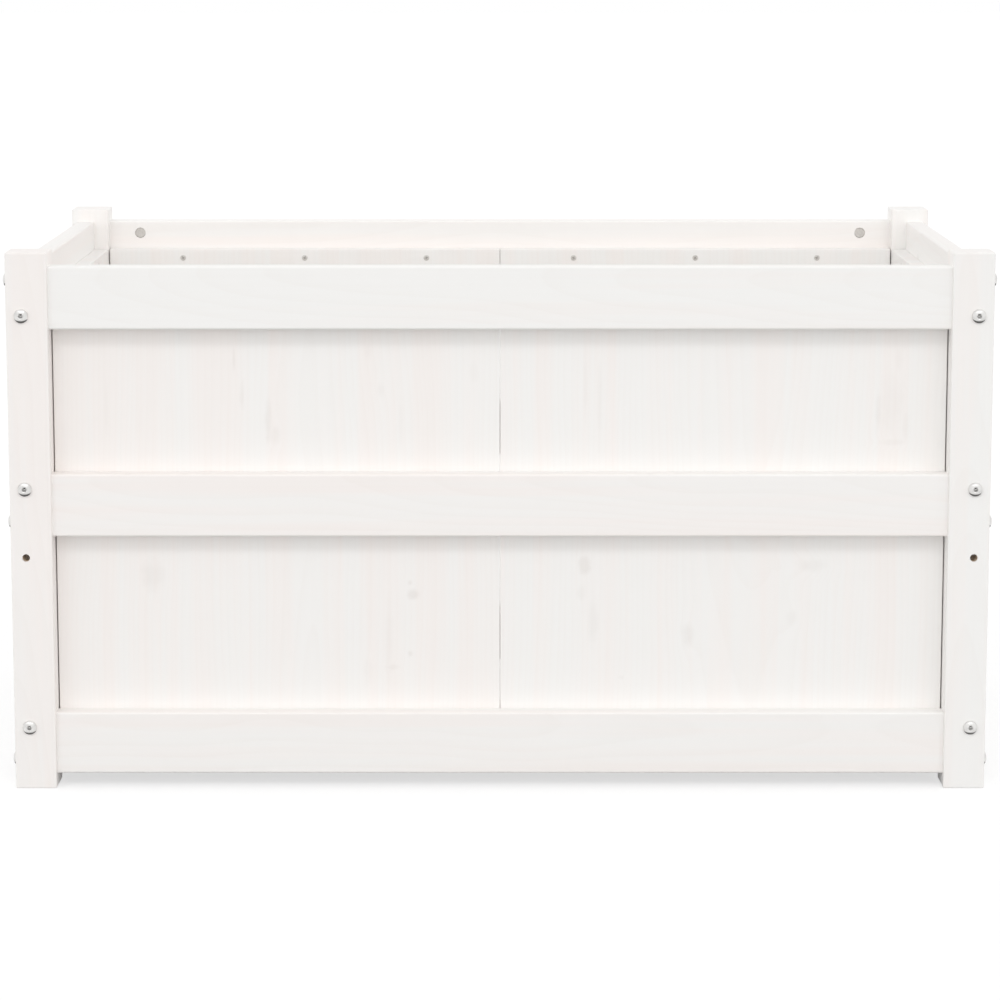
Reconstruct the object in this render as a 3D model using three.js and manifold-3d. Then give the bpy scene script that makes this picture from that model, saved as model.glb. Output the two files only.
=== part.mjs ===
// Rectangular box planter of white-stained pine.
// Four square posts carry three rails on each side. Board panels lie behind the rails and hold
// the soil, and a slatted floor stands on two bearers. Each rail is pulled against its posts by
// a bolt through the post into a barrel nut in the rail, so that the box comes apart flat.
// Millimetres, +Z up. The origin is on the ground under the middle of the box, the front is at -Y.

import * as THREE from 'three';
import { mergeVertices } from 'three/addons/utils/BufferGeometryUtils.js';
import Module from 'manifold-3d';

// Box, measured over the posts
const boxLength = 900;
const boxWidth = 500;
const boxHeight = 500;

// Posts
const postSide = 38;
const postEase = 1;

// Rails
const railHeight = 58;
const railThickness = 18;
const railSetback = 5;
const railEase = 2;
const railRise = 13;

// Panels behind the rails
const panelThickness = 15;
const panelLap = 29;
const panelPostGap = 1;
const panelJointGap = 0.4;
const panelEase = 0.6;

// Floor
const bearerThickness = 18;
const bearerHeight = 29;
const bearerEase = 1;
const bearerEndGap = 2;
const boardWidth = 92;
const boardThickness = 15;
const boardEndGap = 2;
const boardEase = 1.5;

// Corner bolts and barrel nuts
const boltDiameter = 6;
const boltOffset = 16;
const boltReach = 5;
const headDiameter = 13;
const headHeight = 3.8;
const headRim = 0.5;
const socketWidth = 4;
const socketDepth = 2;
const nutDiameter = 10;
const nutLength = 14;
const nutSink = 1;
const nutInset = 32;
const nutClearance = 0.3;
const boreDiameter = 7;
const boreTipGap = 3;

// Pieces in a pattern
const longPanelCount = 2;
const shortPanelCount = 1;
const boardCount = 8;

// Facets. A board's corner radius is over its edge radius, so that the easing never closes up.
const postEaseSteps = 2;
const railEaseSteps = 2;
const boardEaseSteps = 1;
const cornerRatio = 1.25;
const postBoreSides = 16;
const railBoreSides = 10;
const shankSides = 8;
const headSides = 12;
const domeSteps = 3;
const hexagonSides = 6;

const pine = new THREE.MeshStandardMaterial({ color: 0xf0eeec, roughness: 0.7, metalness: 0 });
const zinc = new THREE.MeshStandardMaterial({ color: 0xc4c5c6, roughness: 0.35, metalness: 1 });

const wasm = await Module();
wasm.setup();

function toSolid(geometry) {
  const bare = geometry.clone();
  bare.deleteAttribute('normal');
  bare.deleteAttribute('uv');
  const merged = mergeVertices(bare);
  return new wasm.Manifold(new wasm.Mesh({
    numProp: 3,
    vertProperties: new Float32Array(merged.attributes.position.array),
    triVerts: new Uint32Array(merged.index.array),
  }));
}

function toGeometry(solid) {
  const mesh = solid.getMesh();
  const geometry = new THREE.BufferGeometry();
  geometry.setAttribute('position', new THREE.BufferAttribute(mesh.vertProperties, 3));
  geometry.setIndex(new THREE.BufferAttribute(mesh.triVerts, 1));
  geometry.computeVertexNormals();
  return geometry;
}

function cut(geometry, tools) {
  let solid = toSolid(geometry);
  for (const tool of tools) {
    solid = solid.subtract(toSolid(tool));
  }
  return toGeometry(solid);
}

// A rectangle about the origin with its corners rounded.
function roundedRectangle(width, height, radius) {
  const x = width / 2;
  const y = height / 2;
  const shape = new THREE.Shape();
  shape.absarc(x - radius, y - radius, radius, 0, Math.PI / 2);
  shape.absarc(-x + radius, y - radius, radius, Math.PI / 2, Math.PI);
  shape.absarc(-x + radius, -y + radius, radius, Math.PI, Math.PI * 1.5);
  shape.absarc(x - radius, -y + radius, radius, Math.PI * 1.5, Math.PI * 2);
  return shape;
}

// A board about the origin: length along X, thickness along Y, height along Z, every edge eased.
function easedBoard(length, thickness, height, ease, steps) {
  const outline = roundedRectangle(length, height, cornerRatio * ease);
  const geometry = new THREE.ExtrudeGeometry(outline, {
    depth: thickness - 2 * ease,
    curveSegments: 1,
    bevelSize: ease,
    bevelOffset: -ease,
    bevelThickness: ease,
    bevelSegments: steps,
  });
  geometry.translate(0, 0, ease - thickness / 2);
  geometry.rotateX(Math.PI / 2);
  return geometry;
}

// A bar about the origin: length along X, thickness along Y, height along Z. Its four long edges are
// rounded and its ends are cut square, so that they butt tight against whatever stands there.
function squareEndedBar(length, thickness, height, ease) {
  const outline = roundedRectangle(height, thickness, ease);
  const geometry = new THREE.ExtrudeGeometry(outline, {
    depth: length,
    curveSegments: railEaseSteps,
    bevelEnabled: false,
  });
  geometry.translate(0, 0, -length / 2);
  geometry.rotateY(Math.PI / 2);
  return geometry;
}

// A round cutter whose flats stand at the full diameter, along Y and centred on the origin.
function borer(diameter, length, sides) {
  const radius = diameter / 2 / Math.cos(Math.PI / sides);
  return new THREE.CylinderGeometry(radius, radius, length, sides);
}

// Heights of the three rails, and which way up each one lies: its bolts are off its centre line,
// below it on the long sides and above it on the short ones, or the reverse where it is turned.
const railLevels = [
  { name: 'bottom', centre: railRise + railHeight / 2, turned: 1 },
  { name: 'middle', centre: boxHeight / 2 + boltOffset, turned: 1 },
  { name: 'top', centre: boxHeight - railRise - railHeight / 2, turned: -1 },
];

// The four walls. Each is laid out with its outer side at -Y and turned about Z into its place,
// which puts its two ends where their names say, the one at -X first.
const longSpan = boxLength - 2 * postSide;
const shortSpan = boxWidth - 2 * postSide;
const walls = [
  {
    name: 'front', span: longSpan, reach: boxWidth / 2, angle: 0, panels: longPanelCount,
    boltSide: -1, ends: ['left', 'right'],
  },
  {
    name: 'right', span: shortSpan, reach: boxLength / 2, angle: Math.PI / 2,
    panels: shortPanelCount, boltSide: 1, ends: ['front', 'back'],
  },
  {
    name: 'back', span: longSpan, reach: boxWidth / 2, angle: Math.PI, panels: longPanelCount,
    boltSide: -1, ends: ['right', 'left'],
  },
  {
    name: 'left', span: shortSpan, reach: boxLength / 2, angle: -Math.PI / 2,
    panels: shortPanelCount, boltSide: 1, ends: ['back', 'front'],
  },
];

// Bolt axes run midway through the thickness of the rails.
const boltDepth = railSetback + railThickness / 2;

function boltHeights(boltSide) {
  return railLevels.map((level) => level.centre + boltSide * level.turned * boltOffset);
}

// A post is bored alike from both ends, so that one pattern serves all four corners. The middle
// bore for the short sides is then doubled, and one of the pair stays empty in each post.
function makePost() {
  const post = easedBoard(boxHeight, postSide, postSide, postEase, postEaseSteps);
  post.rotateY(Math.PI / 2);
  const offset = postSide / 2 - boltDepth;
  const cutterLength = 2 * postSide;
  const tools = [];
  for (const height of boltHeights(-1)) {
    const tool = borer(boreDiameter, cutterLength, postBoreSides);
    tool.rotateZ(Math.PI / 2);
    tools.push(tool.translate(0, -offset, height - boxHeight / 2));
  }
  for (const height of boltHeights(1)) {
    for (const rise of [height - boxHeight / 2, boxHeight / 2 - height]) {
      const tool = borer(boreDiameter, cutterLength, postBoreSides);
      tools.push(tool.translate(offset, 0, rise));
    }
  }
  return cut(post, tools);
}

// A rail has a bolt bore in each end and, across it, a blind hole for the nut in its inner face.
function makeRail(span) {
  const boreDepth = nutInset + boltReach + boreTipGap;
  const holeDepth = nutSink + nutLength + nutClearance;
  const tools = [];
  for (const end of [-1, 1]) {
    const bore = borer(boreDiameter, 2 * boreDepth, railBoreSides);
    bore.rotateZ(Math.PI / 2);
    tools.push(bore.translate(end * span / 2, 0, -boltOffset));
    const hole = borer(nutDiameter + 2 * nutClearance, 2 * holeDepth, railBoreSides);
    tools.push(hole.translate(end * (span / 2 - nutInset), railThickness / 2, -boltOffset));
  }
  return cut(squareEndedBar(span, railThickness, railHeight, railEase), tools);
}

// A low domed head on a short rim, with its underside at the origin and its top towards +X.
function makeHead() {
  const rim = headDiameter / 2;
  const crown = headHeight - headRim;
  const domeRadius = (rim * rim + crown * crown) / (2 * crown);
  const points = [new THREE.Vector2(0, 0), new THREE.Vector2(rim, 0)];
  for (let step = 0; step < domeSteps; step += 1) {
    const radius = rim * Math.cos((step / domeSteps) * Math.PI / 2);
    const drop = domeRadius - Math.sqrt(domeRadius * domeRadius - radius * radius);
    points.push(new THREE.Vector2(radius, headHeight - drop));
  }
  points.push(new THREE.Vector2(0, headHeight));
  const head = new THREE.LatheGeometry(points, headSides);
  head.rotateZ(-Math.PI / 2);
  return head;
}

// A bolt with its barrel nut run onto it: the head seats on the post, the nut lies in the rail.
// The nut's thread is off its middle, so that its +Y end comes just under the rail's inner face.
function makeBolt() {
  const length = postSide + nutInset + boltReach;
  const shank = new THREE.CylinderGeometry(boltDiameter / 2, boltDiameter / 2, length, shankSides);
  shank.rotateZ(Math.PI / 2);
  shank.translate(headRim / 2 - length / 2, 0, 0);
  const nut = new THREE.CylinderGeometry(nutDiameter / 2, nutDiameter / 2, nutLength, railBoreSides);
  nut.translate(-postSide - nutInset, (railThickness - nutLength) / 2 - nutSink, 0);
  const socketRadius = socketWidth / Math.sqrt(3);
  const socket = new THREE.CylinderGeometry(
    socketRadius, socketRadius, 2 * socketDepth, hexagonSides,
  );
  socket.rotateZ(Math.PI / 2);
  socket.translate(headHeight, 0, 0);
  const solid = toSolid(makeHead()).add(toSolid(shank)).add(toSolid(nut));
  return toGeometry(solid.subtract(toSolid(socket)));
}

function addMesh(parent, name, geometry, material) {
  const mesh = new THREE.Mesh(geometry, material);
  mesh.name = name;
  parent.add(mesh);
  return mesh;
}

// Every post is the same piece, given half a turn about one of its axes at each other corner.
function addPosts(parent) {
  const geometry = makePost();
  const corners = [
    { name: 'post_front_right', x: 1, y: -1, axis: null },
    { name: 'post_front_left', x: -1, y: -1, axis: 'y' },
    { name: 'post_back_right', x: 1, y: 1, axis: 'x' },
    { name: 'post_back_left', x: -1, y: 1, axis: 'z' },
  ];
  for (const corner of corners) {
    const post = addMesh(parent, corner.name, geometry, pine);
    const x = corner.x * (boxLength - postSide) / 2;
    const y = corner.y * (boxWidth - postSide) / 2;
    post.position.set(x, y, boxHeight / 2);
    if (corner.axis) {
      post.rotation[corner.axis] = Math.PI;
    }
  }
}

function addRails(wall, group) {
  const geometry = makeRail(wall.span);
  for (const level of railLevels) {
    const rail = addMesh(group, `rail_${wall.name}_${level.name}`, geometry, pine);
    rail.position.set(0, boltDepth - wall.reach, level.centre);
    rail.rotation.y = wall.boltSide * level.turned < 0 ? 0 : Math.PI;
  }
}

function addBolts(wall, group, geometry) {
  const heights = boltHeights(wall.boltSide);
  railLevels.forEach((level, index) => {
    [-1, 1].forEach((end, side) => {
      const name = `bolt_${wall.name}_${level.name}_${wall.ends[side]}`;
      const bolt = addMesh(group, name, geometry, zinc);
      const seat = wall.span / 2 + postSide;
      bolt.position.set(end * seat, boltDepth - wall.reach, heights[index]);
      bolt.rotation.y = end > 0 ? 0 : Math.PI;
    });
  });
}

const panelBottom = railLevels[0].centre + railHeight / 2 - panelLap;
const panelTop = railLevels[2].centre - railHeight / 2 + panelLap;
const panelInset = railSetback + railThickness;

function addPanels(wall, group) {
  const joints = wall.panels - 1;
  const width = (wall.span - 2 * panelPostGap - joints * panelJointGap) / wall.panels;
  const height = panelTop - panelBottom;
  const geometry = easedBoard(width, panelThickness, height, panelEase, boardEaseSteps);
  for (let index = 0; index < wall.panels; index += 1) {
    const half = wall.panels > 1 ? `_${wall.ends[index]}` : '';
    const panel = addMesh(group, `panel_${wall.name}${half}`, geometry, pine);
    const x = (index - joints / 2) * (width + panelJointGap);
    panel.position.set(x, panelInset + panelThickness / 2 - wall.reach, panelBottom + height / 2);
  }
}

function addWalls(parent) {
  const bolt = makeBolt();
  for (const wall of walls) {
    const group = new THREE.Group();
    group.rotation.z = wall.angle;
    addRails(wall, group);
    addBolts(wall, group, bolt);
    addPanels(wall, group);
    parent.add(group);
  }
}

// Bearers stand against the inner faces of the long panels, level with their lower edge. The
// boards lie across them, spread so that all the drainage gaps are alike.
function addFloor(parent) {
  const wallDepth = panelInset + panelThickness;
  const innerLength = boxLength - 2 * wallDepth;
  const innerWidth = boxWidth - 2 * wallDepth;
  const bearerLength = innerLength - 2 * bearerEndGap;
  const bearer = easedBoard(
    bearerLength, bearerThickness, bearerHeight, bearerEase, boardEaseSteps,
  );
  for (const [name, side] of [['bearer_front', -1], ['bearer_back', 1]]) {
    const y = side * (innerWidth - bearerThickness) / 2;
    addMesh(parent, name, bearer, pine).position.set(0, y, panelBottom + bearerHeight / 2);
  }
  const boardLength = innerWidth - 2 * boardEndGap;
  const board = easedBoard(boardWidth, boardLength, boardThickness, boardEase, boardEaseSteps);
  const pitch = (innerLength + boardWidth) / (boardCount + 1);
  const level = panelBottom + bearerHeight + boardThickness / 2;
  for (let index = 0; index < boardCount; index += 1) {
    const x = (index - (boardCount - 1) / 2) * pitch;
    addMesh(parent, `floor_board_${index + 1}`, board, pine).position.set(x, 0, level);
  }
}

const planter = new THREE.Group();
addPosts(planter);
addWalls(planter);
addFloor(planter);

export default planter;
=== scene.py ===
# A rectangular planter box of white-stained pine, dressed for a plain studio picture.
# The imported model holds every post, rail, panel, board and bolt at its real size. This script gives
# each its finish, makes the bolts, barrel nuts and wood screws in full, and sets floor, light and camera.
# Metres, +Z up. The front of the box is at -Y.

import math
import random

import bmesh
import bpy
from mathutils import Matrix, Vector


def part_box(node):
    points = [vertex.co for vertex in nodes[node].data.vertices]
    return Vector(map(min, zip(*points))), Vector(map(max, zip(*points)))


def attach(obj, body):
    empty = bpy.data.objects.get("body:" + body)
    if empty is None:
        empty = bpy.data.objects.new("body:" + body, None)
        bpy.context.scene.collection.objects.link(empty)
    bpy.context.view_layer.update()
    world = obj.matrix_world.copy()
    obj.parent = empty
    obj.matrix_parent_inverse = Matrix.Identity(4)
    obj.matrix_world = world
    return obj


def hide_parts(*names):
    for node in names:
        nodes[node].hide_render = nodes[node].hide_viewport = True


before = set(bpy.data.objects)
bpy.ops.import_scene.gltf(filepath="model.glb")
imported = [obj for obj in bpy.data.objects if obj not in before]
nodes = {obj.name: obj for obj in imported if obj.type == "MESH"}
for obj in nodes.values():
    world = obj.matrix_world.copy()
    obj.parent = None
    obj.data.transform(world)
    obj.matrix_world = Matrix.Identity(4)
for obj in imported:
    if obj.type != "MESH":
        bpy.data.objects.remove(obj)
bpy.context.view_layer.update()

MM = 0.001

# Bolts and barrel nuts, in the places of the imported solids. The point of the drill that made the
# socket goes on below its floor, and ends in a small flat.
HEAD_HEIGHT = 3.8 * MM
HEAD_RIM = 0.5 * MM
HEAD_EASE = 0.15 * MM
SOCKET_WIDTH = 4.0 * MM
SOCKET_MOUTH = 5.28 * MM
SOCKET_DEPTH = 2.0 * MM
SOCKET_CHAMFER = 0.25 * MM
SOCKET_POINT = 1.5 * MM
SOCKET_POINT_FLAT = 1.0 * MM
BOLT_DIAMETER = 6.0 * MM
BOLT_LENGTH = 75.0 * MM
THREAD_LENGTH = 24.0 * MM
THREAD_PITCH = 1.0 * MM
THREAD_DEPTH = 0.55 * MM
NUT_DIAMETER = 10.3 * MM
NUT_LENGTH = 14.0 * MM
NUT_OFFSET = 1.0 * MM
NUT_CHAMFER = 0.2 * MM
NUT_INSET = 32.0 * MM

# Wood screws, countersunk, with a cross recess that ends above the wood
SCREW_HEAD = 6.0 * MM
SCREW_RISE = 0.25 * MM
SCREW_CONE = 2.0 * MM
SCREW_SHANK = 2.6 * MM
SCREW_LENGTH = 24.0 * MM
SCREW_POINT = 4.0 * MM
CROSS_REACH = 1.75 * MM
CROSS_WIDTH = 0.9 * MM
CROSS_DEPTH = 0.2 * MM
CROSS_TAPER = 0.95

# Where the screws go
PANEL_SCREW_EDGE = 9.0 * MM
SCREW_PITCH = 128.1 * MM
PANEL_ROW = 3
BEARER_ROW = 6
BOARD_ROW = 2
BOARD_SCREW_SPREAD = 56.0 * MM

# Facets round each turned piece
HEAD_SIDES = 48
DOME_STEPS = 9
SHANK_SIDES = 16
THREAD_STEPS = 4
NUT_SIDES = 40
SCREW_SIDES = 32
SHARP_EDGE = math.radians(32)

# Finish, in the colours seen in even light
STAIN = (244, 243, 241)
ROSE = (246, 241, 238)
RAW = (228, 213, 194)
GRAIN = (206, 187, 170)
KNOT = (172, 160, 150)
ZINC = (229, 228, 226)
DULL_ZINC = (221, 218, 214)
# Painted shade: the dark the plate turns where it faces down, standing in for a dark reflection from
# below
UNDERSIDE_PAINTED_SHADE = (88, 87, 86)
# Painted shade: the floor of each screw's cross recess, darker to stand in for the shade inside it
RECESS_PAINTED_SHADE = (178, 175, 171)

# Walls deeper in a board than this belong to a bore, which was drilled after the staining
BORE_DEPTH = 1.2 * MM

# Grain: the width of a year's growth, and cycles per metre across and along the fibres and bands
RING_WIDTH = 5.2 * MM
FIBRES = (420.0, 7.0)
BANDS = (45.0, 1.5)

# The heart of the tree: how far it lies to the side of a board's middle, how far in front of that
# or behind it, and how much it leans from the grain. The rings wander from circles in this range.
PITH_ASIDE = 30.0 * MM
PITH_AWAY = (30.0 * MM, 55.0 * MM)
PITH_LEAN = 0.06
RING_WANDER = 50.0 * MM

# How much rings, fibres and bands darken the stain, and how much of that the stain covers again
RING_TONE = 0.035
FIBRE_TONE = 0.05
BAND_TONE = 0.02
COVERED_TONE = 0.02

# Random knots: cells of their pattern per metre across and along a board, and their tone. The
# ruffle on the edges of knots and marks is in cycles per metre.
KNOT_CELLS = (4.6, 3.1)
KNOT_TONE = 0.13
EDGE_RUFFLE = 90.0

# Plate: cycles per metre of its clouds and its handling marks, and the upward part of the normal
# at which the painted shade underneath begins and is full. This painted shade darkens the plate
# where it faces down, standing in for a dark reflection from below.
CLOUDS = 260.0
HANDLING = 2600.0
PAINTED_SHADE_BEGINS = -0.33
PAINTED_SHADE_FULL = -0.50

# How rosy the stain is on the boards seen in the picture. The others take theirs at random.
WARMTH = {
    "post_front_left": 0.9,
    "post_front_right": 0.3,
    "rail_front_top": 0.0,
    "rail_front_middle": 0.7,
    "rail_front_bottom": 0.5,
    "panel_front_left": 0.55,
    "panel_front_right": 0.5,
    "rail_back_top": 0.6,
    "panel_back_left": 0.3,
    "panel_back_right": 0.3,
}

# Marks in the wood of the front panels: place across and up from the middle of the panel, half
# width, half height, and strength. Millimetres.
FRONT_LEFT_MARKS = (
    (125, -71, 5.5, 5, 0.13),
    (122, -60, 2.5, 2.5, 0.10),
    (122, -127, 2.5, 3, 0.12),
    (-117, -53, 10, 15, 0.08),
    (105, -140, 6, 3, 0.07),
    (102, -117, 4, 36, 0.04),
    (83, -144, 4, 11, 0.03),
    (-39, 150, 1.6, 11, 0.10),
    (-32, 115, 2.4, 12, 0.07),
    (-8, 92, 3, 22, 0.09),
    (-2, 79, 5, 9, 0.06),
    (-157, 104, 2, 22, 0.03),
    (96, 121, 4, 6, 0.04),
    (114, 90, 2.5, 22, 0.03),
    (84, 157, 3, 8, 0.04),
    (181, 136, 4, 11, 0.03),
)
FRONT_RIGHT_MARKS = (
    (-127, -44, 6, 9, 0.13),
    (-130, -69, 4, 8, 0.05),
    (-119, -98, 5, 22, 0.06),
    (-31, -109, 6, 11, 0.07),
    (-93, -150, 3, 2.5, 0.04),
    (84, -44, 13, 6, 0.06),
    (65, -93, 6, 8, 0.04),
    (156, 108, 12, 26, 0.04),
    (143, 102, 3, 18, 0.07),
    (157, 72, 13, 3, 0.05),
    (168, 87, 3, 13, 0.05),
    (161, 148, 3, 10, 0.04),
    (-127, 124, 2, 32, 0.05),
    (-114, 107, 2.5, 36, 0.04),
)

# Camera and light
CAMERA_PLACE = (0.0, -3.130, 0.784)
CAMERA_TILT = math.radians(8.28)
CAMERA_LENS = 114.7
CAMERA_SENSOR = 36.0
CAMERA_SHIFT = -0.10
HORIZON_STRENGTH = 1.68
ZENITH_STRENGTH = 0.50
KEY_STRENGTH = 0.54
KEY_RISE = 43.0
KEY_SOFTNESS = 11.0
KEY_TURNS = (-36, -24, -12, 0, 12, 24, 36)
FLOOR_SIZE = 60.0
FLOOR_BOUNCE = (194, 194, 194)
FLOOR_SEEN = 0.4
FLOOR_GLOW = 0.63

SEED = 7
rng = random.Random(SEED)


# ---------------------------------------------------------------------------------------------
# Materials
# ---------------------------------------------------------------------------------------------

def linear(color):
    """An sRGB colour of 0 to 255 as the linear RGBA that shaders take."""
    channels = []
    for value in color:
        share = value / 255
        if share <= 0.04045:
            channels.append(share / 12.92)
        else:
            channels.append(((share + 0.055) / 1.055) ** 2.4)
    return (*channels, 1.0)


class Graph:
    """Builds one node tree. An input is given as a number, a vector or another node's output."""

    def __init__(self, tree):
        self.tree = tree
        tree.nodes.clear()

    def add(self, kind, inputs=None, **settings):
        node = self.tree.nodes.new("ShaderNode" + kind)
        for name, value in settings.items():
            setattr(node, name, value)
        for name, value in (inputs or {}).items():
            self.feed(node.inputs[name], value)
        return node

    def feed(self, socket, value):
        if isinstance(value, bpy.types.NodeSocket):
            self.tree.links.new(value, socket)
        else:
            socket.default_value = value

    def math(self, operation, *values, clamp=False):
        inputs = dict(enumerate(values))
        return self.add("Math", inputs, operation=operation, use_clamp=clamp).outputs[0]

    def vector(self, operation, *values):
        node = self.add("VectorMath", dict(enumerate(values)), operation=operation)
        length = operation in ("LENGTH", "DISTANCE", "DOT_PRODUCT")
        return node.outputs["Value" if length else "Vector"]

    def combine(self, x, y, z):
        return self.add("CombineXYZ", {"X": x, "Y": y, "Z": z}).outputs[0]

    def noise(self, vector, scale=1.0, detail=2.0, output="Fac"):
        inputs = {"Vector": vector, "Scale": scale, "Detail": detail, "Roughness": 0.55}
        return self.add("TexNoise", inputs).outputs[output]

    def ramp(self, value, low, high, to_low=0.0, to_high=1.0):
        inputs = {
            "Value": value, "From Min": low, "From Max": high, "To Min": to_low, "To Max": to_high,
        }
        return self.add("MapRange", inputs, interpolation_type="SMOOTHSTEP").outputs[0]

    def mix(self, share, first, second):
        node = self.add("Mix", data_type="RGBA")
        sockets = (node.inputs[0], node.inputs[6], node.inputs[7])
        for socket, value in zip(sockets, (share, first, second)):
            self.feed(socket, value)
        return node.outputs[2]


def new_material(name):
    material = bpy.data.materials.new(name)
    material.use_nodes = True
    return material, Graph(material.node_tree)


def board_coordinates(graph, node, axes):
    """Place on a board from its middle: across it, through it and along its grain, in metres."""
    low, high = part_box(node)
    place = graph.add("TexCoord").outputs["Object"]
    local = graph.vector("SUBTRACT", place, tuple((low + high) / 2))
    split = graph.add("SeparateXYZ", {"Vector": local})
    return [split.outputs[axis] for axis in axes]


def mark_fields(graph, across, along, marks):
    """The tone of the given marks, and how far each pushes the growth rings round it aside."""
    tone = 0.0
    push = 0.0
    ruffle = graph.noise(graph.combine(across, 0.0, along), EDGE_RUFFLE, 2.0)
    for x, z, half_width, half_height, strength in marks:
        u = graph.math("DIVIDE", graph.math("SUBTRACT", across, x * MM), half_width * MM)
        w = graph.math("DIVIDE", graph.math("SUBTRACT", along, z * MM), half_height * MM)
        reach = graph.math("ADD", graph.vector("LENGTH", graph.combine(u, w, 0.0)), ruffle)
        body = graph.ramp(reach, 1.9, 0.8, 0.0, strength)
        tone = graph.math("MAXIMUM", body, tone)
        bulge = graph.ramp(reach, 3.6, 0.4, 0.0, half_width * MM)
        push = graph.math("ADD", bulge, push)
    return tone, push


def knot_fields(graph, across, along, seed):
    """Sparse knots at random places, some cells of the pattern having none."""
    fine, coarse = KNOT_CELLS
    spot = graph.combine(
        graph.math("MULTIPLY_ADD", across, fine, seed), graph.math("MULTIPLY", along, coarse), 0.0,
    )
    cells = graph.add("TexVoronoi", {"Vector": spot, "Scale": 1.0}, voronoi_dimensions="2D")
    kind = graph.add("SeparateColor", {"Color": cells.outputs["Color"]}).outputs[0]
    size = graph.ramp(kind, 0.6, 1.0, 0.0, 0.04)
    ruffle = graph.noise(graph.combine(across, 0.0, along), EDGE_RUFFLE, 2.0)
    distance = graph.math("MULTIPLY_ADD", ruffle, 0.02, cells.outputs["Distance"])
    reach = graph.math("DIVIDE", distance, graph.math("ADD", size, 0.0005))
    tone = graph.ramp(reach, 1.5, 0.8, 0.0, KNOT_TONE)
    push = graph.ramp(reach, 4.5, 0.5, 0.0, 0.010)
    return tone, push


def growth_rings(graph, across, through, along, push, seed):
    """Late wood, from cylinders about a pith line that lies off the board and leans a little."""
    random_place = random.Random(seed)
    pith_u = random_place.uniform(-PITH_ASIDE, PITH_ASIDE)
    pith_v = random_place.choice((-1, 1)) * random_place.uniform(*PITH_AWAY)
    lean = random_place.uniform(-PITH_LEAN, PITH_LEAN)
    stretched = graph.combine(
        graph.math("MULTIPLY", across, 5.0),
        graph.math("MULTIPLY", through, 5.0),
        graph.math("MULTIPLY_ADD", along, 1.6, seed % 97),
    )
    wander = graph.vector("SUBTRACT", graph.noise(stretched, 1.0, 2.0, "Color"), (0.5, 0.5, 0.5))
    wander = graph.vector("MULTIPLY", wander, (RING_WANDER, RING_WANDER, RING_WANDER))
    drift = graph.add("SeparateXYZ", {"Vector": wander})
    leaning = graph.math("MULTIPLY", along, lean)
    u = graph.math("ADD", graph.math("SUBTRACT", across, pith_u), drift.outputs["X"])
    v = graph.math("ADD", graph.math("ADD", through, pith_v), drift.outputs["Y"])
    v = graph.math("ADD", graph.math("ADD", v, leaning), push)
    radius = graph.vector("LENGTH", graph.combine(u, v, 0.0))
    uneven = graph.noise(graph.combine(radius, 0.0, seed % 89), 55.0, 1.0)
    phase = graph.math("MULTIPLY_ADD", radius, 1 / RING_WIDTH, graph.math("MULTIPLY", uneven, 2.2))
    ring = graph.math("FRACT", phase)
    late = graph.math("POWER", ring, 2.6)
    return graph.math("MULTIPLY", late, graph.ramp(ring, 1.0, 0.93))


def streaks(graph, place, cycles, seed, detail):
    """Noise drawn out along the grain, with these cycles per metre across and along it."""
    across, through, along = place
    fine, coarse = cycles
    drawn = graph.combine(
        graph.math("MULTIPLY_ADD", across, fine, seed),
        graph.math("MULTIPLY", through, fine),
        graph.math("MULTIPLY", along, coarse),
    )
    return graph.noise(drawn, 1.0, detail)


def bore_walls(graph, node, axes, place):
    """1 on the walls of bores, which lie well inside the board, and 0 on its outer faces."""
    low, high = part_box(node)
    depth = 1.0
    for axis, value in zip(axes, place):
        half = ((high - low) / 2)["XYZ".index(axis)]
        below = graph.math("SUBTRACT", half, graph.math("ABSOLUTE", value))
        depth = graph.math("MINIMUM", below, depth)
    return graph.ramp(depth, 0.9 * BORE_DEPTH, 1.1 * BORE_DEPTH)


def pine(node, axes, marks=()):
    """White stain over planed pine. axes are across, through and along the grain of this board."""
    seed = rng.randrange(1, 10000)
    warmth = WARMTH.get(node, rng.uniform(0.1, 0.8))
    material, graph = new_material("pine_" + node)
    place = board_coordinates(graph, node, axes)
    across, through, along = place
    if "front" in node:
        knots, push = mark_fields(graph, across, along, marks)
    else:
        knots, push = knot_fields(graph, across, along, seed % 61)
    rings = growth_rings(graph, across, through, along, push, seed)
    fibre = streaks(graph, place, FIBRES, seed, 3.0)
    band = streaks(graph, place, BANDS, seed, 2.0)

    rosy = graph.math("MULTIPLY_ADD", graph.ramp(band, 0.35, 0.65), 0.7, 0.9 * warmth - 0.35, clamp=True)
    stain = graph.mix(rosy, linear(STAIN), linear(ROSE))
    tone = graph.math("MULTIPLY", rings, RING_TONE)
    tone = graph.math("MULTIPLY_ADD", fibre, FIBRE_TONE, tone)
    tone = graph.math("MULTIPLY_ADD", graph.ramp(band, 0.45, 0.8), BAND_TONE, tone)
    tone = graph.math("SUBTRACT", tone, COVERED_TONE, clamp=True)
    color = graph.mix(tone, stain, linear(GRAIN))
    color = graph.mix(knots, color, linear(KNOT))
    if node.startswith(("post", "rail")):
        bored = bore_walls(graph, node, axes, place)
        color = graph.mix(bored, color, linear(RAW))

    relief = graph.math("MULTIPLY_ADD", rings, 0.5, fibre)
    relief = graph.math("MULTIPLY_ADD", knots, 4.0, relief)
    bump = graph.add("Bump", {"Height": relief, "Strength": 0.25, "Distance": 0.12 * MM})
    roughness = graph.ramp(fibre, 0.3, 0.7, 0.62, 0.5)
    shader = graph.add("BsdfPrincipled", {
        "Base Color": color, "Roughness": roughness, "Normal": bump.outputs[0],
        "Specular IOR Level": 0.35,
    })
    graph.add("OutputMaterial", {"Surface": shader.outputs[0]})
    return material


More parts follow.
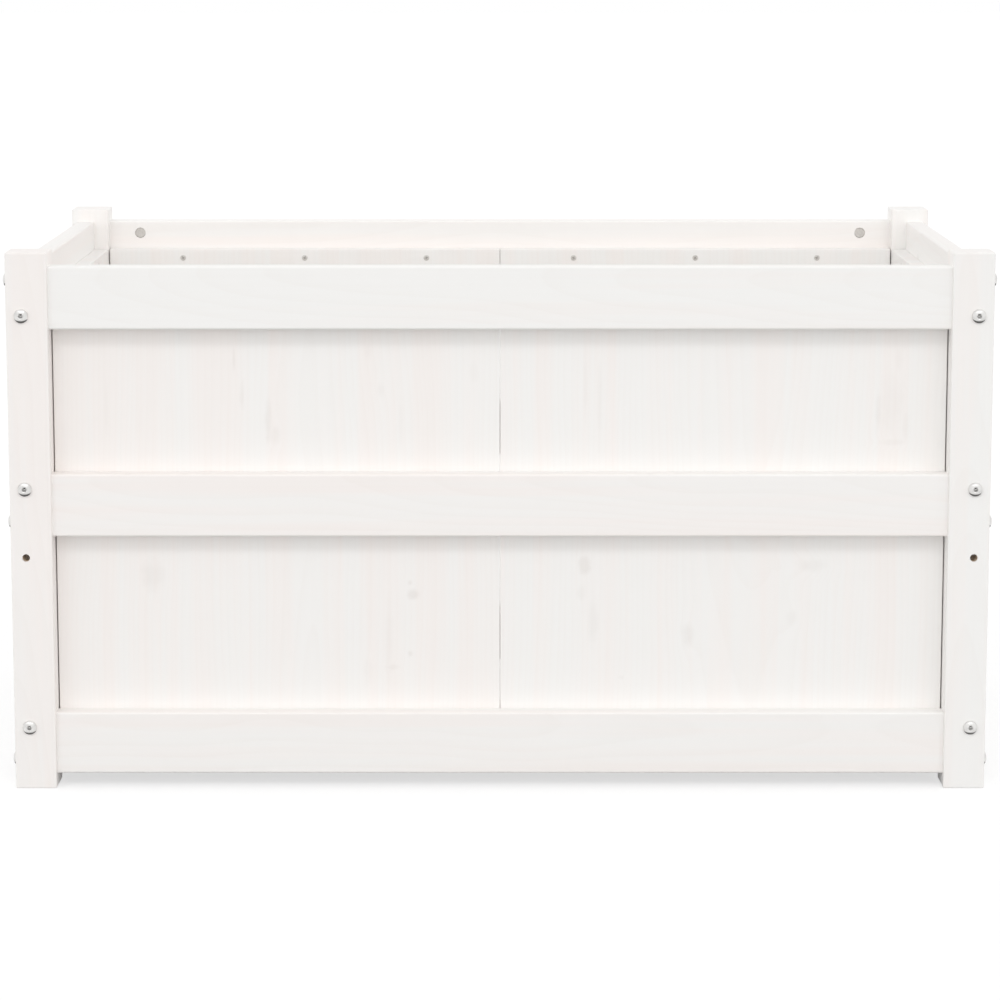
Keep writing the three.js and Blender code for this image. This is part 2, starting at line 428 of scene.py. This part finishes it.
def zinc(name, base):
    """Zinc plate, a little cloudy, with fine handling marks, and painted shade where it faces down."""
    material, graph = new_material(name)
    place = graph.add("TexCoord").outputs["Object"]
    cloud = graph.noise(place, CLOUDS, 3.0)
    grit = graph.noise(place, HANDLING, 2.0)
    plate = graph.mix(
        graph.ramp(cloud, 0.35, 0.7), linear(base), linear([value - 12 for value in base]))
    facing = graph.add("SeparateXYZ", {"Vector": graph.add("NewGeometry").outputs["Normal"]})
    # Painted shade: faces turned down are darkened, standing in for a dark reflection from below.
    under = graph.ramp(facing.outputs["Z"], PAINTED_SHADE_BEGINS, PAINTED_SHADE_FULL)
    color = graph.mix(under, plate, linear(UNDERSIDE_PAINTED_SHADE))
    roughness = graph.math("MULTIPLY_ADD", grit, 0.16, 0.24)
    bump = graph.add("Bump", {"Height": grit, "Strength": 0.2, "Distance": 0.02 * MM})
    shader = graph.add("BsdfPrincipled", {
        "Base Color": color, "Metallic": 0.65, "Roughness": roughness, "Normal": bump.outputs[0],
    })
    graph.add("OutputMaterial", {"Surface": shader.outputs[0]})
    return material


# Across, through and along each kind of board, as axes of the box
UPRIGHT_LONG = ("X", "Y", "Z")
UPRIGHT_SHORT = ("Y", "X", "Z")
LYING_LONG = ("Z", "Y", "X")
LYING_SHORT = ("Z", "X", "Y")
FLOOR_WAY = ("X", "Z", "Y")


def board_axes(name):
    kind, side = name.split("_")[:2]
    short = side in ("left", "right")
    if kind == "rail":
        return LYING_SHORT if short else LYING_LONG
    if kind == "panel":
        return UPRIGHT_SHORT if short else UPRIGHT_LONG
    if kind == "bearer":
        return LYING_LONG
    if kind == "floor":
        return FLOOR_WAY
    return UPRIGHT_LONG


def finish_wood():
    marks = {"panel_front_left": FRONT_LEFT_MARKS, "panel_front_right": FRONT_RIGHT_MARKS}
    for name in sorted(nodes):
        if not name.startswith("bolt_"):
            material = pine(name, board_axes(name), marks.get(name, ()))
            nodes[name].material_slots[0].material = material


# ---------------------------------------------------------------------------------------------
# Bolts, nuts and screws
# ---------------------------------------------------------------------------------------------

def loop(radius, level, count, phase=0.0):
    """A closed loop of points about +X. radius is a number or a function of the angle."""
    points = []
    for index in range(count):
        angle = 2 * math.pi * index / count + phase
        reach = radius(angle) if callable(radius) else radius
        points.append(Vector((level, reach * math.cos(angle), reach * math.sin(angle))))
    return points


def add_skin(bm, loops, place=Matrix()):
    """Joins closed loops of points in order and closes both ends."""
    rings = [[bm.verts.new(place @ point) for point in points] for points in loops]
    faces = []
    for near, far in zip(rings, rings[1:]):
        for index in range(len(near)):
            after = (index + 1) % len(near)
            faces.append(bm.faces.new((near[index], near[after], far[after], far[index])))
    faces.append(bm.faces.new(list(reversed(rings[0]))))
    faces.append(bm.faces.new(rings[-1]))
    bmesh.ops.recalc_face_normals(bm, faces=faces)
    return faces


def to_mesh(bm, name, materials):
    mesh = bpy.data.meshes.new(name)
    bm.to_mesh(mesh)
    bm.free()
    for material in materials:
        mesh.materials.append(material)
    mesh.shade_smooth()
    mesh.set_sharp_from_angle(angle=SHARP_EDGE)
    return mesh


def place_piece(name, mesh, matrix=Matrix()):
    piece = bpy.data.objects.new(name, mesh)
    bpy.context.scene.collection.objects.link(piece)
    piece.matrix_world = matrix
    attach(piece, "root")
    return piece


def hexagon(width):
    """Distance from the middle to a regular hexagon of this width across flats, by angle."""
    sector = math.pi / 3

    def reach(angle):
        return width / 2 / math.cos(angle % sector - sector / 2)
    return reach


def cross(reach, width):
    """Distance from the middle to the edge of a four-armed cross, by angle."""
    def edge(angle):
        off = abs((angle + math.pi / 4) % (math.pi / 2) - math.pi / 4)
        side = width / 2 / max(math.sin(off), 1e-6)
        return min(reach / math.cos(off), side)
    return edge


def head_loops(head_radius):
    """A low dome, steeper towards the rim, with a hexagon socket. Its underside is at the origin."""
    def level(radius):
        return HEAD_RIM + (HEAD_HEIGHT - HEAD_RIM) * math.sqrt(1 - (radius / head_radius) ** 2)
    mouth = SOCKET_MOUTH / 2
    loops = [
        loop(head_radius - HEAD_EASE, 0.0, HEAD_SIDES),
        loop(head_radius, HEAD_EASE, HEAD_SIDES),
        loop(head_radius, HEAD_RIM, HEAD_SIDES),
    ]
    mouth_angle = math.acos(mouth / head_radius)
    for step in range(1, DOME_STEPS + 1):
        radius = head_radius * math.cos(mouth_angle * step / DOME_STEPS)
        loops.append(loop(radius, level(radius), HEAD_SIDES))
    flats = hexagon(SOCKET_WIDTH)
    floor = HEAD_HEIGHT - SOCKET_DEPTH
    loops.append(loop(flats, level(mouth) - SOCKET_CHAMFER, HEAD_SIDES))
    loops.append(loop(flats, floor, HEAD_SIDES))
    loops.append(loop(SOCKET_POINT_FLAT / 2, floor - SOCKET_POINT, HEAD_SIDES))
    return loops


def shank_loops():
    """A plain shank whose last stretch carries a helical thread and a chamfered end."""
    radius = BOLT_DIAMETER / 2
    start = THREAD_LENGTH - BOLT_LENGTH
    loops = [loop(radius, HEAD_EASE, SHANK_SIDES), loop(radius, start, SHANK_SIDES)]
    turns = round(THREAD_LENGTH / THREAD_PITCH) - 1
    for step in range(1, turns * THREAD_STEPS + 1):
        travel = step / THREAD_STEPS

        def ridge(angle, travel=travel):
            wave = abs(2 * ((travel - angle / (2 * math.pi)) % 1) - 1)
            return radius - THREAD_DEPTH * wave
        loops.append(loop(ridge, start - travel * THREAD_PITCH, SHANK_SIDES))
    loops.append(loop(radius - THREAD_DEPTH, THREAD_PITCH / 2 - BOLT_LENGTH, SHANK_SIDES))
    loops.append(loop(radius - 2 * THREAD_DEPTH, -BOLT_LENGTH, SHANK_SIDES))
    return loops


def nut_loops():
    """A plain cross pin with chamfered ends, about +X."""
    radius = NUT_DIAMETER / 2
    half = NUT_LENGTH / 2
    return [
        loop(radius - NUT_CHAMFER, -half, NUT_SIDES),
        loop(radius, NUT_CHAMFER - half, NUT_SIDES),
        loop(radius, half - NUT_CHAMFER, NUT_SIDES),
        loop(radius - NUT_CHAMFER, half, NUT_SIDES),
    ]


def bolt_mesh(head_radius, nut_seat, materials):
    """Head, shank and barrel nut, with the head towards +X and the nut across it, along Y."""
    bm = bmesh.new()
    add_skin(bm, head_loops(head_radius))
    add_skin(bm, shank_loops())
    turn = Matrix.Rotation(math.pi / 2, 4, "Z")
    for face in add_skin(bm, nut_loops(), Matrix.Translation((-nut_seat, NUT_OFFSET, 0.0)) @ turn):
        face.material_index = 1
    return to_mesh(bm, "bolt_with_nut", materials)


OUTWARD = {
    "left": Vector((-1, 0, 0)),
    "right": Vector((1, 0, 0)),
    "front": Vector((0, -1, 0)),
    "back": Vector((0, 1, 0)),
}


def finish_bolts(materials):
    """Puts the full bolt in the place of each packed one."""
    low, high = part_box("bolt_front_top_left")
    head_radius = (high.z - low.z) / 2
    post_low, post_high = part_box("post_front_left")
    nut_seat = post_high.x - post_low.x + NUT_INSET
    mesh = bolt_mesh(head_radius, nut_seat, materials)
    box_low, box_high = post_low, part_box("post_back_right")[1]
    for name in sorted(nodes):
        if not name.startswith("bolt_"):
            continue
        wall, _, end = name.split("_")[1:]
        head, inner = OUTWARD[end], -OUTWARD[wall]
        low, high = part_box(name)
        seat = (low + high) / 2
        for axis in (0, 1):
            if head[axis]:
                seat[axis] = (box_low if head[axis] < 0 else box_high)[axis]
            elif inner[axis] > 0:
                seat[axis] = low[axis] + head_radius
            else:
                seat[axis] = high[axis] - head_radius
        upright = head.cross(inner)
        turn = Matrix((head, inner, upright)).transposed().to_4x4()
        piece = place_piece(name + "_full", mesh, Matrix.Translation(seat) @ turn)
        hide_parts(name)


def screw_loops():
    """A countersunk screw along -X with the face of its head just proud of the origin."""
    head = SCREW_HEAD / 2
    shank = SCREW_SHANK / 2
    tip = shank / 6
    mouth = cross(CROSS_REACH, CROSS_WIDTH)
    floor = cross(CROSS_TAPER * CROSS_REACH, CROSS_TAPER * CROSS_WIDTH)
    return [
        loop(tip, -SCREW_LENGTH, SCREW_SIDES),
        loop(shank, SCREW_POINT - SCREW_LENGTH, SCREW_SIDES),
        loop(shank, -SCREW_CONE, SCREW_SIDES),
        loop(head, 0.0, SCREW_SIDES),
        loop(head, SCREW_RISE / 2, SCREW_SIDES),
        loop(head - SCREW_RISE, SCREW_RISE, SCREW_SIDES),
        loop(mouth, SCREW_RISE, SCREW_SIDES),
        loop(floor, SCREW_RISE - CROSS_DEPTH, SCREW_SIDES),
    ]


def add_screws(name, places, out, materials):
    """Screws at these places, their heads facing out, each turned at random, their recess floor painted
    dark as shade.
    """
    loops = screw_loops()
    facing = Vector((1, 0, 0)).rotation_difference(out).to_matrix().to_4x4()
    bm = bmesh.new()
    for place in places:
        spin = Matrix.Rotation(rng.uniform(0, math.pi / 2), 4, "X")
        faces = add_skin(bm, loops, Matrix.Translation(place) @ facing @ spin)
        # Painted shade: the recess floor takes the second, darker material in place of the shade inside
        # it.
        faces[-1].material_index = 1
    place_piece(name, to_mesh(bm, name, materials))


def rows(count, pitch):
    return [(index - (count - 1) / 2) * pitch for index in range(count)]


def panel_screws(materials):
    """Rows of screws through each panel into the rails behind it."""
    for name in sorted(nodes):
        if not name.startswith("panel_"):
            continue
        side = name.split("_")[1]
        low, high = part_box(name)
        middle = (low + high) / 2
        levels = [high.z - PANEL_SCREW_EDGE, sum(part.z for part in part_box(f"rail_{side}_middle")) / 2]
        places = []
        if side in ("left", "right"):
            levels.append(low.z + PANEL_SCREW_EDGE)
            inner = high.x if side == "left" else low.x
            for level in levels:
                places += [Vector((inner, y, level)) for y in rows(PANEL_ROW, SCREW_PITCH)]
        else:
            inner = high.y if side == "front" else low.y
            for level in levels:
                places += [Vector((middle.x + x, inner, level)) for x in rows(PANEL_ROW, SCREW_PITCH)]
        add_screws("screws_" + name, places, -OUTWARD[side], materials)


def bearer_screws(materials):
    for side in ("front", "back"):
        low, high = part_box("bearer_" + side)
        inner = high.y if side == "front" else low.y
        level = (low.z + high.z) / 2
        places = [Vector((x, inner, level)) for x in rows(BEARER_ROW, SCREW_PITCH)]
        add_screws("screws_bearer_" + side, places, -OUTWARD[side], materials)


def floor_screws(materials):
    front = sum(part.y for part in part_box("bearer_front")) / 2
    back = sum(part.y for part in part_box("bearer_back")) / 2
    for name in sorted(nodes):
        if not name.startswith("floor_board_"):
            continue
        low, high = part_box(name)
        middle = (low.x + high.x) / 2
        places = []
        for x in rows(BOARD_ROW, BOARD_SCREW_SPREAD):
            places += [Vector((middle + x, y, high.z)) for y in (front, back)]
        add_screws("screws_" + name, places, Vector((0, 0, 1)), materials)


# ---------------------------------------------------------------------------------------------
# Floor, light and camera
# ---------------------------------------------------------------------------------------------

def seen_ray(graph):
    """1 for rays that show the background: straight ones, reflections and light through glass."""
    path = graph.add("LightPath")
    seen = graph.math("MAXIMUM", path.outputs["Is Camera Ray"], path.outputs["Is Glossy Ray"])
    return graph.math("MAXIMUM", seen, path.outputs["Is Transmission Ray"])


def make_floor():
    """A pale floor. Seen directly it is white where the light reaches it and keeps the shadow."""
    bm = bmesh.new()
    bmesh.ops.create_grid(bm, x_segments=1, y_segments=1, size=FLOOR_SIZE / 2)
    mesh = bpy.data.meshes.new("floor")
    bm.to_mesh(mesh)
    bm.free()
    floor = bpy.data.objects.new("floor", mesh)
    bpy.context.scene.collection.objects.link(floor)
    material, graph = new_material("studio_floor")
    bounce = graph.add("BsdfDiffuse", {"Color": linear(FLOOR_BOUNCE)})
    shown = graph.add("BsdfDiffuse", {"Color": (FLOOR_SEEN, FLOOR_SEEN, FLOOR_SEEN, 1.0)})
    glow = graph.add("Emission", {"Strength": FLOOR_GLOW})
    lit = graph.add("AddShader", {0: shown.outputs[0], 1: glow.outputs[0]})
    mixed = graph.add("MixShader", {0: seen_ray(graph), 1: bounce.outputs[0], 2: lit.outputs[0]})
    graph.add("OutputMaterial", {"Surface": mixed.outputs[0]})
    mesh.materials.append(material)


def make_world():
    world = bpy.data.worlds.new("studio")
    world.use_nodes = True
    bpy.context.scene.world = world
    graph = Graph(world.node_tree)
    toward = graph.add("SeparateXYZ", {"Vector": graph.add("TexCoord").outputs["Generated"]})
    fill = graph.add("MapRange", {
        "Value": toward.outputs["Z"], "To Min": HORIZON_STRENGTH, "To Max": ZENITH_STRENGTH,
    })
    light = graph.add("Background", {"Color": (1.0, 1.0, 1.0, 1.0), "Strength": fill.outputs[0]})
    white = graph.add("Background", {"Color": (1.0, 1.0, 1.0, 1.0), "Strength": 1.0})
    mixed = graph.add("MixShader", {0: seen_ray(graph), 1: light.outputs[0], 2: white.outputs[0]})
    graph.add("OutputWorld", {"Surface": mixed.outputs[0]})


def make_key():
    """A long soft box in front of the planter and above it, as a row of distant soft lamps."""
    for index, turn in enumerate(KEY_TURNS):
        lamp = bpy.data.lights.new(f"soft_box_{index + 1}", "SUN")
        lamp.energy = KEY_STRENGTH / len(KEY_TURNS)
        lamp.angle = math.radians(KEY_SOFTNESS)
        key = bpy.data.objects.new(lamp.name, lamp)
        bpy.context.scene.collection.objects.link(key)
        key.rotation_euler = (math.radians(90 - KEY_RISE), 0.0, math.radians(turn))


def make_camera():
    data = bpy.data.cameras.new("camera")
    data.lens = CAMERA_LENS
    data.sensor_width = CAMERA_SENSOR
    data.shift_y = CAMERA_SHIFT
    camera = bpy.data.objects.new("camera", data)
    bpy.context.scene.collection.objects.link(camera)
    camera.location = CAMERA_PLACE
    camera.rotation_euler = (math.pi / 2 - CAMERA_TILT, 0.0, 0.0)
    bpy.context.scene.camera = camera


make_camera()
make_world()
make_key()
make_floor()
finish_wood()
bright = zinc("zinc_bright", ZINC)
dull = zinc("zinc_dull", DULL_ZINC)
# Painted shade for the floors of the screw recesses
recess = zinc("zinc_recess_painted_shade", RECESS_PAINTED_SHADE)
finish_bolts((bright, dull))
panel_screws((dull, recess))
bearer_screws((dull, recess))
floor_screws((dull, recess))
bpy.context.scene.view_settings.view_transform = "Standard"
